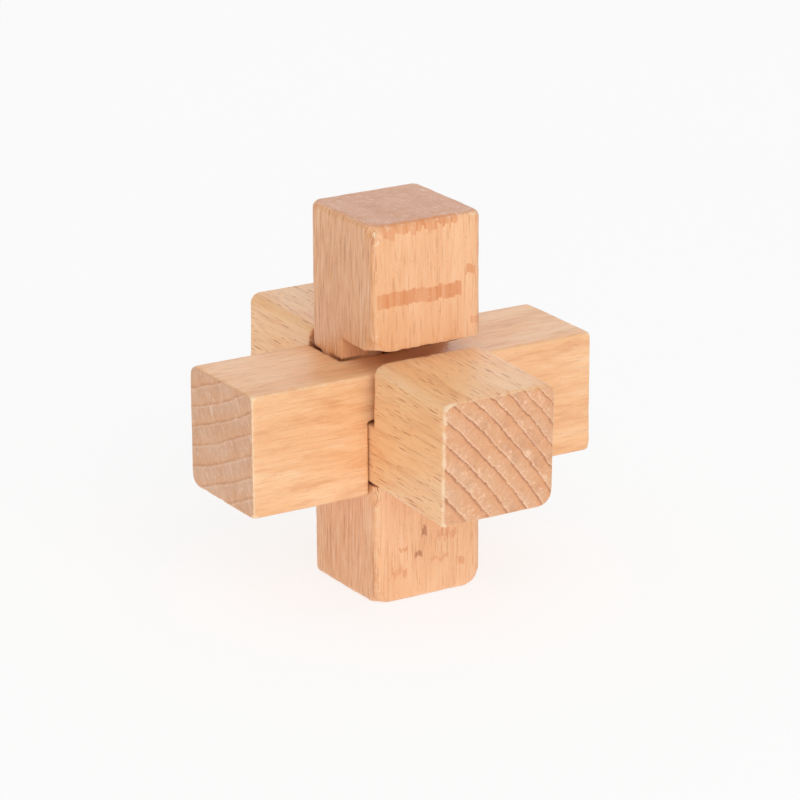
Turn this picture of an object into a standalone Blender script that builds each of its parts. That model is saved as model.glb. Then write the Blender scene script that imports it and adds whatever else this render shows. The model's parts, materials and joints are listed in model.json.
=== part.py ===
"""Three-stick wooden burr puzzle: an upright key stick locked through two crossed sticks.

Each stick is a square bar with rounded long edges and a notch across its middle. What a notch leaves
standing is a neck about a quarter of the bar, and the three necks fill the crossing between them:

    upright stick     keeps the left rear quarter, turned round so that the stick can turn as the key
    crosswise stick   keeps the front upper quarter
    lengthwise stick  keeps the rest: the right lower half, the left front lower and right rear upper blocks

The origin is the centre of the upright stick's foot. The upright stick stands along Z, the crosswise
stick lies along X and the lengthwise stick along Y, with its front end towards -Y.
"""
import math

import bmesh
import bpy
from mathutils import Vector

MM = 0.001

# The bar all three sticks are cut from, in millimetres.
STICK_WIDTH = 25.0
LONG_EDGE_RADIUS = 2.3
END_EDGE_BREAK = 0.8
HALF = STICK_WIDTH / 2

# Lengths of the sticks. The lengthwise one was cut a little shorter than its fellows.
UPRIGHT_LENGTH = 77.8
CROSSWISE_LENGTH = 77.8
LENGTHWISE_LENGTH = 75.4

# Upright stick: heights of its notch's shoulders above the foot, and its neck.
LOWER_SHOULDER = 22.5
UPPER_SHOULDER = 52.2
NECK_AXIS = (-6.4, 6.25)
NECK_RADIUS = 6.05
NECK_SEGMENTS = 48
COLLAR_REAR = 12.4

# The seat under the lengthwise stick, higher than the rest of the lower shoulder. It ends where the
# crosswise stick's arms pass as the key turns: they come no nearer to the neck's axis than its
# radius, and they sweep round behind it.
SEAT_HEIGHT = 24.9
SEAT_RADIUS = 20.3
SEAT_BACK = 6.0

# Crosswise stick: its centre, its notch's shoulders and its neck's underside and back.
CROSSWISE_CENTRE = (0.3, 1.9, 35.3)
LEFT_SHOULDER = -12.8
RIGHT_SHOULDER = 14.3
CROSSWISE_NECK_UNDERSIDE = CROSSWISE_CENTRE[2] + 3.0
CROSSWISE_NECK_BACK = -0.3
CROSSWISE_TOP = CROSSWISE_CENTRE[2] + HALF

# Lengthwise stick: its centre, its droop at the front end, and its notches in its own frame.
LENGTHWISE_CENTRE = (0.0, -0.4, 38.3)
NOSE_DROOP_DEG = 2.0
FRONT_SHOULDER = -11.9
REAR_SHOULDER = 13.6
CHANNEL_FLOOR = -0.5
LEFT_FRONT_BLOCK_BACK = -0.4
RIGHT_REAR_BLOCK_FRONT = 0.9

# The collar is the square top of the neck, left above the crosswise stick with this much room.
COLLAR_BOTTOM = CROSSWISE_TOP + 0.3

# How far a cutter reaches past the surfaces that it cuts through.
OVERCUT = 5.0

BEECH_UPRIGHT = (0.80, 0.50, 0.28, 1.0)
BEECH_CROSSWISE = (0.84, 0.53, 0.29, 1.0)
BEECH_LENGTHWISE = (0.78, 0.47, 0.24, 1.0)


def clear_scene():
    """Remove every object that the file opened with."""
    for obj in list(bpy.data.objects):
        bpy.data.objects.remove(obj, do_unlink=True)


def new_collection(name):
    """Add a collection to the scene and return it."""
    collection = bpy.data.collections.new(name)
    bpy.context.scene.collection.children.link(collection)
    return collection


def beech(name, colour):
    """A bare, sanded beech surface."""
    material = bpy.data.materials.new(name)
    material.use_nodes = True
    shader = material.node_tree.nodes["Principled BSDF"]
    shader.inputs["Base Color"].default_value = colour
    shader.inputs["Roughness"].default_value = 0.55
    shader.inputs["Metallic"].default_value = 0.0
    return material


def metres(point):
    """A point given in millimetres, as a vector in metres."""
    return Vector(point) * MM


def add_object(name, mesh, collection):
    """Wrap a mesh in an object and put it in a collection."""
    obj = bpy.data.objects.new(name, mesh)
    collection.objects.link(obj)
    return obj


def box_mesh(name, low, high):
    """A box between two corners given in millimetres."""
    bm = bmesh.new()
    bmesh.ops.create_cube(bm, size=1.0)
    size = metres(high) - metres(low)
    bmesh.ops.scale(bm, vec=size, verts=bm.verts)
    bmesh.ops.translate(bm, vec=(metres(high) + metres(low)) / 2, verts=bm.verts)
    mesh = bpy.data.meshes.new(name)
    bm.to_mesh(mesh)
    bm.free()
    return mesh


def bar_mesh(name, length, axis):
    """A square bar centred on the origin along axis 0, 1 or 2, with its four long edges rounded."""
    size = [STICK_WIDTH * MM] * 3
    size[axis] = length * MM
    bm = bmesh.new()
    bmesh.ops.create_cube(bm, size=1.0)
    bmesh.ops.scale(bm, vec=size, verts=bm.verts)
    long_edges = [
        edge for edge in bm.edges
        if abs(edge.verts[0].co[axis] - edge.verts[1].co[axis]) > size[axis] / 2
    ]
    bmesh.ops.bevel(
        bm, geom=long_edges, offset=LONG_EDGE_RADIUS * MM, offset_type="OFFSET",
        segments=5, profile=0.5, affect="EDGES",
    )
    bmesh.ops.recalc_face_normals(bm, faces=bm.faces)
    mesh = bpy.data.meshes.new(name)
    bm.to_mesh(mesh)
    bm.free()
    mesh.shade_smooth()
    mesh.set_sharp_from_angle(angle=math.radians(30))
    return mesh


def break_end_edges(stick):
    """Take the sharpness off the edges round both end faces."""
    bevel = stick.modifiers.new("end_edges", "BEVEL")
    bevel.width = END_EDGE_BREAK * MM
    bevel.segments = 2
    bevel.limit_method = "ANGLE"
    bevel.angle_limit = math.radians(60)


def hide_cutter(cutter):
    """Mark an object as a cutter: never rendered, drawn as wire."""
    cutter.hide_render = True
    cutter.display_type = "WIRE"


def cut(target, cutter):
    """Subtract a cutter from a target with an exact Boolean."""
    boolean = target.modifiers.new("cut_" + cutter.name, "BOOLEAN")
    boolean.operation = "DIFFERENCE"
    boolean.solver = "EXACT"
    boolean.object = cutter


def add_box_cutter(name, low, high, cutters, parent=None):
    """Add a box-shaped cutter, in its parent's frame when it has a parent."""
    cutter = add_object(name, box_mesh(name, low, high), cutters)
    cutter.parent = parent
    hide_cutter(cutter)
    return cutter


def add_pivot(name, location, collection, parent=None):
    """Add an empty on a joint's axis, at a point given in its parent's frame."""
    pivot = bpy.data.objects.new(name, None)
    pivot.location = metres(location)
    pivot.parent = parent
    collection.objects.link(pivot)
    return pivot


def add_neck_core(cutters):
    """The round neck, which the upright stick's notch cutter leaves standing."""
    bm = bmesh.new()
    bmesh.ops.create_cone(
        bm, cap_ends=True, segments=NECK_SEGMENTS,
        radius1=NECK_RADIUS * MM, radius2=NECK_RADIUS * MM,
        depth=(UPPER_SHOULDER - LOWER_SHOULDER + 2 * OVERCUT) * MM,
    )
    mesh = bpy.data.meshes.new("neck_core")
    bm.to_mesh(mesh)
    bm.free()
    core = add_object("neck_core", mesh, cutters)
    core.location = metres((*NECK_AXIS, (LOWER_SHOULDER + UPPER_SHOULDER) / 2))
    hide_cutter(core)
    return core


def add_seat(cutters):
    """The seat, which the upright stick's notch cutter leaves standing on the lower shoulder."""
    bm = bmesh.new()
    bmesh.ops.create_cone(
        bm, cap_ends=True, segments=NECK_SEGMENTS,
        radius1=SEAT_RADIUS * MM, radius2=SEAT_RADIUS * MM,
        depth=(SEAT_HEIGHT - LOWER_SHOULDER + OVERCUT) * MM,
    )
    mesh = bpy.data.meshes.new("seat")
    bm.to_mesh(mesh)
    bm.free()
    seat = add_object("seat", mesh, cutters)
    seat.location = metres((*NECK_AXIS, (LOWER_SHOULDER + SEAT_HEIGHT - OVERCUT) / 2))
    hide_cutter(seat)
    reach = SEAT_RADIUS + OVERCUT
    cut(seat, add_box_cutter(
        "behind_seat",
        (NECK_AXIS[0] - reach, SEAT_BACK, LOWER_SHOULDER - 2 * OVERCUT),
        (NECK_AXIS[0] + reach, NECK_AXIS[1] + reach, SEAT_HEIGHT + OVERCUT), cutters,
    ))
    return seat


def build_upright(collection, cutters):
    """The key: a notch that leaves a round neck, with a square collar at its top and a seat at its foot."""
    stick = add_object("upright_key_stick", bar_mesh("upright_key_stick", UPRIGHT_LENGTH, 2), collection)
    stick.location.z = UPRIGHT_LENGTH / 2 * MM
    break_end_edges(stick)

    reach = HALF + OVERCUT
    notch = add_box_cutter(
        "upright_notch", (-reach, -reach, LOWER_SHOULDER), (reach, reach, UPPER_SHOULDER), cutters,
    )
    cut(notch, add_neck_core(cutters))
    # Only the collar's left-hand corners stay square: the right-hand ones would strike the
    # lengthwise stick as the key turns.
    collar = add_box_cutter(
        "neck_collar", (-reach - OVERCUT, 0.0, COLLAR_BOTTOM),
        (NECK_AXIS[0], COLLAR_REAR, UPPER_SHOULDER + OVERCUT), cutters,
    )
    cut(notch, collar)
    cut(notch, add_seat(cutters))
    cut(stick, notch)
    return stick


def build_crosswise(collection, cutters, pivot):
    """The stick across the front, notched from behind and below."""
    stick = add_object("crosswise_stick", bar_mesh("crosswise_stick", CROSSWISE_LENGTH, 0), collection)
    stick.parent = pivot
    stick.location = metres(CROSSWISE_CENTRE) - pivot.location
    break_end_edges(stick)

    reach = HALF + OVERCUT
    bottom = CROSSWISE_CENTRE[2] - reach
    top = CROSSWISE_CENTRE[2] + reach
    front = CROSSWISE_CENTRE[1] - reach
    back = CROSSWISE_CENTRE[1] + reach
    cut(stick, add_box_cutter(
        "crosswise_notch_behind", (LEFT_SHOULDER, CROSSWISE_NECK_BACK, bottom),
        (RIGHT_SHOULDER, back, top), cutters,
    ))
    cut(stick, add_box_cutter(
        "crosswise_notch_below", (LEFT_SHOULDER, front, bottom),
        (RIGHT_SHOULDER, back, CROSSWISE_NECK_UNDERSIDE), cutters,
    ))
    return stick


def build_lengthwise(collection, cutters, pivot):
    """The stick from front to back, with a channel for each of the other two necks."""
    stick = add_object("lengthwise_stick", bar_mesh("lengthwise_stick", LENGTHWISE_LENGTH, 1), collection)
    stick.parent = pivot
    stick.rotation_euler.x = math.radians(NOSE_DROOP_DEG)
    break_end_edges(stick)

    reach = HALF + OVERCUT
    # Across the top, for the crosswise stick's neck.
    cut(stick, add_box_cutter(
        "channel_across", (-reach, FRONT_SHOULDER, CHANNEL_FLOOR),
        (reach, RIGHT_REAR_BLOCK_FRONT, reach), cutters, parent=stick,
    ))
    # Down the left side, for the key's neck.
    cut(stick, add_box_cutter(
        "channel_down", (-reach, LEFT_FRONT_BLOCK_BACK, -reach),
        (0.0, REAR_SHOULDER, reach), cutters, parent=stick,
    ))
    return stick


def main():
    """Build the three sticks in their places."""
    clear_scene()
    puzzle = new_collection("burr_puzzle")
    cutters = new_collection("cutters")

    turn_pivot = add_pivot("key_turn_axis", (*NECK_AXIS, 0.0), puzzle)
    rock_point = Vector(LENGTHWISE_CENTRE) - Vector((*NECK_AXIS, 0.0))
    rock_pivot = add_pivot("lengthwise_rock_axis", rock_point, puzzle, parent=turn_pivot)

    upright = build_upright(puzzle, cutters)
    crosswise = build_crosswise(puzzle, cutters, turn_pivot)
    lengthwise = build_lengthwise(puzzle, cutters, rock_pivot)

    upright.data.materials.append(beech("beech_upright", BEECH_UPRIGHT))
    crosswise.data.materials.append(beech("beech_crosswise", BEECH_CROSSWISE))
    lengthwise.data.materials.append(beech("beech_lengthwise", BEECH_LENGTHWISE))


main()
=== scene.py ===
"""Looks of the three-stick burr puzzle: three worn beech sticks on a pale floor.

Each stick is modelled again over its CAD solid, at the same size and place, with softened edges
and dents. One beech finish, set differently for each stick, carries growth rings, rays, pores and
flecks through the wood as a solid pattern, so that the grain on the long
faces meets the rings on the end faces.
"""

import json
import logging
import math
import random
from contextlib import contextmanager
from dataclasses import dataclass, field
from enum import Enum
from typing import Callable, Iterator, Mapping, Optional, Union

import bmesh
import bpy
import numpy as np
from mathutils import Matrix, Vector, kdtree


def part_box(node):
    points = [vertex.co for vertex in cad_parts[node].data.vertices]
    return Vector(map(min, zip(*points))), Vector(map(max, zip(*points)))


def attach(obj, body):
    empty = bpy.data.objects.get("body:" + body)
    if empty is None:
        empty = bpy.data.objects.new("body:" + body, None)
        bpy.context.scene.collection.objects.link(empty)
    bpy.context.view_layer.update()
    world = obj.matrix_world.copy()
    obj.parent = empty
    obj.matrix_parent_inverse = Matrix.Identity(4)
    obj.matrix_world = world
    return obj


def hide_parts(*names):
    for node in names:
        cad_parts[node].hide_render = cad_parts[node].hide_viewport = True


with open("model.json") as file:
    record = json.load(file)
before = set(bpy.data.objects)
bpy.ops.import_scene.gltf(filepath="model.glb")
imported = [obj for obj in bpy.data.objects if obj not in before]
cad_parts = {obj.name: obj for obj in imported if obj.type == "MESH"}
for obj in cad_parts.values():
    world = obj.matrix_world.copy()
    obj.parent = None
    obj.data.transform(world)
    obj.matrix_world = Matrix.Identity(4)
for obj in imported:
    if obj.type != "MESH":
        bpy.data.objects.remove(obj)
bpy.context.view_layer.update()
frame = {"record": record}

log = logging.getLogger("burr_puzzle")

MM = 0.001
NEAR = 0.01 * MM
WHITE = (1.0, 1.0, 1.0, 1.0)

Point = tuple[float, float, float]
Colour = tuple[float, float, float, float]


def shade(red: int, green: int, blue: int) -> Colour:
    """A colour given as 8-bit display values, turned into the linear values that shaders use.

    Args:
        red: Red, 0 to 255.
        green: Green, 0 to 255.
        blue: Blue, 0 to 255.

    Returns:
        The linear colour with full alpha.
    """
    def linear(value: int) -> float:
        """One channel, from its display value to its linear value."""
        part = value / 255
        return part / 12.92 if part <= 0.04045 else ((part + 0.055) / 1.055) ** 2.4

    return (linear(red), linear(green), linear(blue), 1.0)


# ---------------------------------------------------------------------------------------------
# Shader maths
# ---------------------------------------------------------------------------------------------

class Number:
    """A number that varies over a surface: a wrapped socket that arithmetic can be written on."""

    def __init__(self, bench: "ShaderBench", socket: bpy.types.NodeSocket) -> None:
        """Wrap a socket of a bench's node tree."""
        self.bench = bench
        self.socket = socket

    def __add__(self, other: "Scalar") -> "Number":
        """Sum."""
        return self.bench.maths("ADD", self, other)

    def __radd__(self, other: "Scalar") -> "Number":
        """Sum, with the plain number first."""
        return self.bench.maths("ADD", other, self)

    def __sub__(self, other: "Scalar") -> "Number":
        """Difference."""
        return self.bench.maths("SUBTRACT", self, other)

    def __rsub__(self, other: "Scalar") -> "Number":
        """Difference, with the plain number first."""
        return self.bench.maths("SUBTRACT", other, self)

    def __mul__(self, other: "Scalar") -> "Number":
        """Product."""
        return self.bench.maths("MULTIPLY", self, other)

    def __rmul__(self, other: "Scalar") -> "Number":
        """Product, with the plain number first."""
        return self.bench.maths("MULTIPLY", other, self)

    def __truediv__(self, other: "Scalar") -> "Number":
        """Quotient."""
        return self.bench.maths("DIVIDE", self, other)

    def root(self) -> "Number":
        """Square root."""
        return self.bench.maths("SQRT", self)

    def fraction(self) -> "Number":
        """What is left above the whole number below."""
        return self.bench.maths("FRACT", self)

    def whole(self) -> "Number":
        """The whole number below."""
        return self.bench.maths("FLOOR", self)

    def size(self) -> "Number":
        """The number without its sign."""
        return self.bench.maths("ABSOLUTE", self)

    def smooth(self, start: float, end: float) -> "Number":
        """A soft step.

        Args:
            start: Where the result is 0.
            end: Where the result is 1. It may be lower than start.

        Returns:
            A number from 0 to 1.
        """
        step = self.bench.node(
            "ShaderNodeMapRange",
            {"interpolation_type": "SMOOTHSTEP"},
            {"Value": self, "From Min": start, "From Max": end},
        )
        return Number(self.bench, step.outputs["Result"])


Scalar = Union[Number, float, int]
Shade = Union[bpy.types.NodeSocket, Colour]


class ShaderBench:
    """A material and its node tree, with one method that adds any node to it."""

    def __init__(self, name: str) -> None:
        """Make an empty node material with the given name."""
        self.material = bpy.data.materials.new(name)
        self.material.use_nodes = True
        self.tree = self.material.node_tree
        self.tree.nodes.clear()

    def node(
        self,
        kind: str,
        settings: Optional[Mapping[str, object]] = None,
        inputs: Optional[Mapping[Union[str, int], object]] = None,
    ) -> bpy.types.Node:
        """Add a node.

        Args:
            kind: The node's type.
            settings: Properties of the node, set before its sockets.
            inputs: Values or links for its sockets, by name or by place.

        Returns:
            The new node.
        """
        made = self.tree.nodes.new(kind)
        for name, value in (settings or {}).items():
            setattr(made, name, value)
        for place, value in (inputs or {}).items():
            socket = made.inputs[place]
            if isinstance(value, Number):
                self.tree.links.new(value.socket, socket)
            elif isinstance(value, bpy.types.NodeSocket):
                self.tree.links.new(value, socket)
            else:
                socket.default_value = value
        return made

    def maths(self, operation: str, *values: Scalar) -> Number:
        """Add a Math node.

        Args:
            operation: The Math node's operation.
            values: What goes into its sockets, in order.

        Returns:
            Its result.
        """
        made = self.node("ShaderNodeMath", {"operation": operation}, dict(enumerate(values)))
        return Number(self, made.outputs[0])

    def vector(self, x: Scalar, y: Scalar, z: Scalar) -> bpy.types.NodeSocket:
        """Join three numbers into a vector."""
        return self.node("ShaderNodeCombineXYZ", inputs={"X": x, "Y": y, "Z": z}).outputs[0]

    def noise(self, place: bpy.types.NodeSocket, detail: float = 2.0, roughness: float = 0.5) -> Number:
        """Soft noise, from 0 to 1, whose blobs are about one unit across.

        Args:
            place: Where to read the noise.
            detail: How many finer layers lie over the first.
            roughness: How strong each finer layer is.

        Returns:
            The noise's value.
        """
        made = self.node(
            "ShaderNodeTexNoise",
            {"noise_dimensions": "3D"},
            {"Vector": place, "Scale": 1.0, "Detail": detail, "Roughness": roughness},
        )
        return Number(self, made.outputs[0])

    def dice(self, step: Number) -> Number:
        """A fixed random number from 0 to 1 for each whole step."""
        made = self.node("ShaderNodeTexWhiteNoise", {"noise_dimensions": "1D"}, {"W": step})
        return Number(self, made.outputs["Value"])

    def cells(self, place: bpy.types.NodeSocket) -> Number:
        """The distance to the nearest of a field of random points, one to each unit cube."""
        made = self.node(
            "ShaderNodeTexVoronoi",
            {"voronoi_dimensions": "3D", "feature": "F1"},
            {"Vector": place, "Scale": 1.0, "Randomness": 1.0},
        )
        return Number(self, made.outputs["Distance"])

    def attribute(self, name: str) -> Number:
        """A number that the mesh carries at its points."""
        made = self.node(
            "ShaderNodeAttribute", {"attribute_type": "GEOMETRY", "attribute_name": name},
        )
        return Number(self, made.outputs["Fac"])

    def blend(
        self,
        under: Shade,
        over: Shade,
        amount: Scalar,
        mode: str = "MIX",
    ) -> bpy.types.NodeSocket:
        """Lay one colour over another.

        Args:
            under: The colour below.
            over: The colour on top.
            amount: How much of the top colour shows, from 0 to 1.
            mode: How the two mix.

        Returns:
            The mixed colour.
        """
        made = self.node(
            "ShaderNodeMix",
            {"data_type": "RGBA", "blend_type": mode, "clamp_factor": True},
            {0: amount, 6: under, 7: over},
        )
        return made.outputs[2]


# ---------------------------------------------------------------------------------------------
# Beech
# ---------------------------------------------------------------------------------------------

class Grain(Enum):
    """The axis that a stick's grain runs along, with the two axes across it."""

    ALONG_X = (1, 2, 0)
    ALONG_Y = (0, 2, 1)
    ALONG_Z = (0, 1, 2)

    @property
    def across(self) -> int:
        """The first axis across the grain."""
        return self.value[0]

    @property
    def up(self) -> int:
        """The second axis across the grain."""
        return self.value[1]

    @property
    def along(self) -> int:
        """The axis along the grain."""
        return self.value[2]


@dataclass(frozen=True)
class Rings:
    """Growth rings: circles round a pith that lies outside the stick, in millimetres.

    The rings get closer together away from the pith: the ring count at radius r is
    phase + rate * (r - middle) + crowding * (r - middle) ** 2.
    """

    pith: tuple[float, float]
    middle: float
    rate: float
    crowding: float = 0.0
    phase: float = 0.0
    wander: float = 0.5
    jitter: float = 0.5
    line_strength: float = 0.5
    face_strength: float = 0.2
    late_strength: float = 0.35


@dataclass(frozen=True)
class Rays:
    """A field of rays: flat spindles that run out from the pith, in millimetres."""

    sideways: float
    lengthways: float
    outwards: float
    size: float
    strength: float


@dataclass(frozen=True)
class Fleck:
    """A patch on a face where a ray lies in the surface, cut up into strips along the grain."""

    across: float
    along: float
    width: float
    height: float
    strength: float = 0.6
    strip: float = 0.5
    ragged: float = 0.6
    tone: Colour = shade(230, 146, 86)


@dataclass(frozen=True)
class BeechTones:
    """The colours of one stick's wood. The tints multiply what lies under them."""

    pale: Colour
    deep: Colour
    late: Colour
    line: Colour
    ray: Colour
    # The cream of the pale streaks, fibres and specks, and of the pale edges, which are partly real wear
    # and partly a painted highlight.
    worn_and_highlighted: Colour
    end_pale: Colour
    end_tint: Colour
    bark_tint: Colour = WHITE


@dataclass(frozen=True)
class EndGrain:
    """The open texture of the end faces: its size along and across the rings, and its strength."""

    length: float = 0.6
    width: float = 0.75
    sponge: float = 0.6
    comb: float = 0.3
    crumb: float = 0.4
    speckle: float = 0.0


@dataclass(frozen=True)
class WoodPlace:
    """Where a stick's wood lies: its grain, its centre in millimetres and its tilt about X."""

    grain: Grain
    centre: Point
    tilt: float = 0.0


@dataclass(frozen=True)
class BeechFinish:
    """Bare sanded beech, as a solid pattern through one stick."""

    tones: BeechTones
    rings: Rings
    rays: tuple[Rays, ...]
    flecks: tuple[Fleck, ...] = ()
    fleck_depth: float = 1.2
    end_grain: EndGrain = EndGrain()
    streak: float = 0.25
    streak_width: float = 1.0
    streak_length: float = 11.0
    fibre: float = 0.3
    speckle: float = 0.35
    # How strongly the pale edges are laid: partly real wear, partly a painted highlight.
    wear_and_highlight_strength: float = 0.85
    roughness: float = 0.40
    gloss: float = 0.9

    def material(self, name: str, place: WoodPlace) -> bpy.types.Material:
        """Make the finish's material.

        Args:
            name: The material's name.
            place: Where the stick's wood lies.

        Returns:
            The material.
        """
        return BeechPainter(ShaderBench(name), self, place).paint()


class BeechPainter:
    """Lays one stick's pattern, layer over layer.

    The sizes are across and along the grain, in millimetres.
    """

    WANDER_SIZE = (9.0, 70.0)
    JITTER_SIZE = (0.9, 16.0)
    BROAD_SIZE = (7.0, 20.0)
    SWAY_SIZE = (5.0, 12.0)
    SWAY_REACH = 3.0
    MOTTLE_SIZE = (4.5, 4.5)
    CRUMB_SIZE = (1.6, 1.6)
    STRAND_SIZE = (0.34, 6.0)
    GRIT_SIZE = (0.42, 0.7)
    PATCH_SIZE = (0.9, 1.4)
    # Size of the patches that break up the pale edges, both their wear and their painted highlight.
    FLECK_BEND_SIZE = (1.5, 1.5)
    RING_CLOSE = (1.0, 0.97)
    FLECK_SOFT_SIDE = 0.2
    FLECK_SOFT_END = 0.15
    FLECK_SPACING = 40
    RELIEF_STRENGTH = 0.6
    RELIEF_HEIGHT = 0.14 * MM

    def __init__(self, bench: ShaderBench, finish: BeechFinish, place: WoodPlace) -> None:
        """Find where each point lies in the wood.

        Args:
            bench: The material's bench.
            finish: The finish to lay.
            place: Where the stick's wood lies.
        """
        self.bench = bench
        self.finish = finish
        self.colour: Shade = finish.tones.pale
        self.across, self.up, self.along = self.wood_axes(place)
        self.end = bench.attribute("end_grain")
        self.side = 1 - self.end
        self.bark = bench.attribute("bark_facing")
        # Paleness of the outer edges: partly real wear, partly a painted highlight where light catches
        # the edges.
        self.wear_and_highlight = bench.attribute("wear_and_highlight")
        rings = finish.rings
        wander = self.grain_noise(*self.WANDER_SIZE, 1.0) - 0.5
        jitter = self.grain_noise(*self.JITTER_SIZE, 2.0, 0.6) - 0.5
        from_pith_across = self.across - rings.pith[0]
        from_pith_up = self.up - rings.pith[1]
        radius = (from_pith_across * from_pith_across + from_pith_up * from_pith_up).root()
        self.radius = radius + wander * (3 * rings.wander) + jitter * rings.jitter
        self.turn = bench.maths("ARCTAN2", from_pith_up, from_pith_across) * rings.middle
        out = self.radius - rings.middle
        self.ring = rings.phase + out * rings.rate + out * out * rings.crowding

    def wood_axes(self, place: WoodPlace) -> tuple[Number, Number, Number]:
        """Millimetres across, up and along the wood, from the stick's centre.

        Args:
            place: Where the stick's wood lies.

        Returns:
            The three distances.
        """
        turn = Matrix.Rotation(math.radians(-place.tilt), 3, "X")
        coordinates = self.bench.node("ShaderNodeTexCoord").outputs["Object"]
        mapped = self.bench.node("ShaderNodeMapping", {"vector_type": "POINT"}, {
            "Vector": coordinates,
            "Location": -(turn @ Vector(place.centre)),
            "Rotation": (math.radians(-place.tilt), 0.0, 0.0),
            "Scale": (1 / MM, 1 / MM, 1 / MM),
        })
        parts = self.bench.node("ShaderNodeSeparateXYZ", inputs={"Vector": mapped.outputs["Vector"]})
        return tuple(Number(self.bench, parts.outputs[axis]) for axis in place.grain.value)

    def grain_noise(
        self, width: float, length: float, detail: float = 2.0, roughness: float = 0.5,
    ) -> Number:
        """Noise that is drawn out along the grain.

        Args:
            width: Its size across the grain in millimetres.
            length: Its size along the grain in millimetres.
            detail: How many finer layers it has.
            roughness: How strong the finer layers are.

        Returns:
            The noise, about 0.5 on average.
        """
        place = self.bench.vector(self.across / width, self.up / width, self.along / length)
        return self.bench.noise(place, detail, roughness)

    def lay(self, tone: Shade, amount: Scalar, mode: str = "MIX") -> None:
        """Lay a tone over the colour so far.

        Args:
            tone: The tone.
            amount: How much of it, 0 to 1.
            mode: How it is mixed.
        """
        self.colour = self.bench.blend(self.colour, tone, amount, mode)

    def paint(self) -> bpy.types.Material:
        """Lay every layer and join them to the shader.

        Returns:
            The material.
        """
        finish = self.finish
        broad = self.grain_noise(*self.BROAD_SIZE).smooth(0.32, 0.68)
        self.lay(finish.tones.deep, broad)
        self.lay(finish.tones.bark_tint, self.bark.smooth(0.4, 0.9) * self.side, "MULTIPLY")
        self.lay_streaks()
        crumb = self.lay_end_grain()
        self.lay_rings()
        self.lay_rays()
        strand = self.lay_fibres()
        self.lay_flecks()
        grit = self.lay_grit()
        # Pale edges: partly real wear, partly a painted highlight.
        self.lay_wear_and_highlights()
        relief = strand * self.side + grit * 0.7 + crumb * self.end * 1.5
        bump = self.bench.node("ShaderNodeBump", inputs={
            "Strength": self.RELIEF_STRENGTH, "Distance": self.RELIEF_HEIGHT, "Height": relief,
        })
        rough = finish.roughness + (strand - 0.5) * 0.25 + broad * 0.05 + self.end * 0.08
        shader = self.bench.node("ShaderNodeBsdfPrincipled", inputs={
            "Base Color": self.colour,
            "Roughness": rough,
            "Specular IOR Level": finish.gloss,
            "Normal": bump.outputs["Normal"],
        })
        self.bench.node("ShaderNodeOutputMaterial", inputs={"Surface": shader.outputs["BSDF"]})
        return self.bench.material

    def lay_streaks(self) -> None:
        """Lay soft darker and paler streaks that wander along the grain."""
        finish = self.finish
        sway = (self.grain_noise(*self.SWAY_SIZE, 1.0) - 0.5) * self.SWAY_REACH
        across = self.across + sway
        up = self.up + sway
        for width, length, share in (
            (finish.streak_width * 3.6, finish.streak_length * 1.6, 1.0),
            (finish.streak_width, finish.streak_length, 0.6),
        ):
            place = self.bench.vector(across / width, up / width, self.along / length)
            streak = self.bench.noise(place, 3.0, 0.58)
            amount = self.side * (finish.streak * share)
            self.lay(finish.tones.late, streak.smooth(0.48, 0.74) * amount)
            self.lay(finish.tones.worn_and_highlighted, streak.smooth(0.47, 0.22) * amount * 0.6)

    def lay_end_grain(self) -> Number:
        """Tint the end faces, and lay their pores and the rays that run from ring to ring.

        Returns:
            The crumbly texture, for the relief.
        """
        tones, grain = self.finish.tones, self.finish.end_grain
        self.lay(tones.end_tint, self.end, "MULTIPLY")
        place = self.bench.vector(self.turn / grain.length, self.radius / grain.width, self.along / 3)
        sponge = self.bench.noise(place, 4.0, 0.62)
        self.lay(tones.end_pale, sponge.smooth(0.52, 0.72) * self.end * grain.sponge)
        self.lay(tones.late, sponge.smooth(0.47, 0.28) * self.end * grain.sponge * 0.8)
        place = self.bench.vector(
            self.turn / 0.55, self.ring.whole() * 5.7 + self.radius / 9, self.along / 5,
        )
        comb = self.bench.noise(place, 2.0, 0.6)
        self.lay(tones.end_pale, comb.smooth(0.56, 0.7) * self.end * grain.comb)
        self.lay(tones.line, comb.smooth(0.42, 0.27) * self.end * grain.comb * 0.7)
        mottle = self.grain_noise(*self.MOTTLE_SIZE, 3.0, 0.6)
        self.lay(tones.line, mottle.smooth(0.52, 0.3) * self.end * grain.crumb * 0.5)
        crumb = self.grain_noise(*self.CRUMB_SIZE, 4.0, 0.66)
        self.lay(tones.end_pale, crumb.smooth(0.56, 0.7) * self.end * grain.crumb)
        self.lay(tones.line, crumb.smooth(0.44, 0.28) * self.end * grain.crumb * 0.6)
        return crumb

    def lay_rings(self) -> None:
        """Lay the growth rings: darker late wood that ends in a line, then pale early wood."""
        rings, tones = self.finish.rings, self.finish.tones
        part = self.ring.fraction()
        show = rings.face_strength + (rings.line_strength - rings.face_strength) * self.end
        late = part.smooth(0.3, 0.9) * part.smooth(*self.RING_CLOSE)
        self.lay(tones.late, late * show * rings.late_strength)
        place = self.bench.vector(self.turn / 2.4, self.ring.whole(), self.along / 6)
        broken = 0.45 + 1.1 * self.bench.noise(place, 3.0, 0.6).smooth(0.3, 0.65)
        line = part.smooth(0.8, 0.94) * part.smooth(*self.RING_CLOSE)
        self.lay(tones.line, line * broken * show)
        self.lay(tones.end_pale, part.smooth(0.14, 0.03) * show * broken * 0.45)

    def lay_rays(self) -> None:
        """Lay the ends of the rays: dark dashes where they meet the long faces."""
        shown = self.side * self.bark.smooth(0.25, 0.65) + 0.2 * self.end
        for rays in self.finish.rays:
            place = self.bench.vector(
                self.turn / rays.sideways, self.along / rays.lengthways, self.radius / rays.outwards,
            )
            spindle = self.bench.cells(place).smooth(rays.size * 1.2, rays.size * 0.7)
            self.lay(self.finish.tones.ray, spindle * shown * rays.strength)

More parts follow.
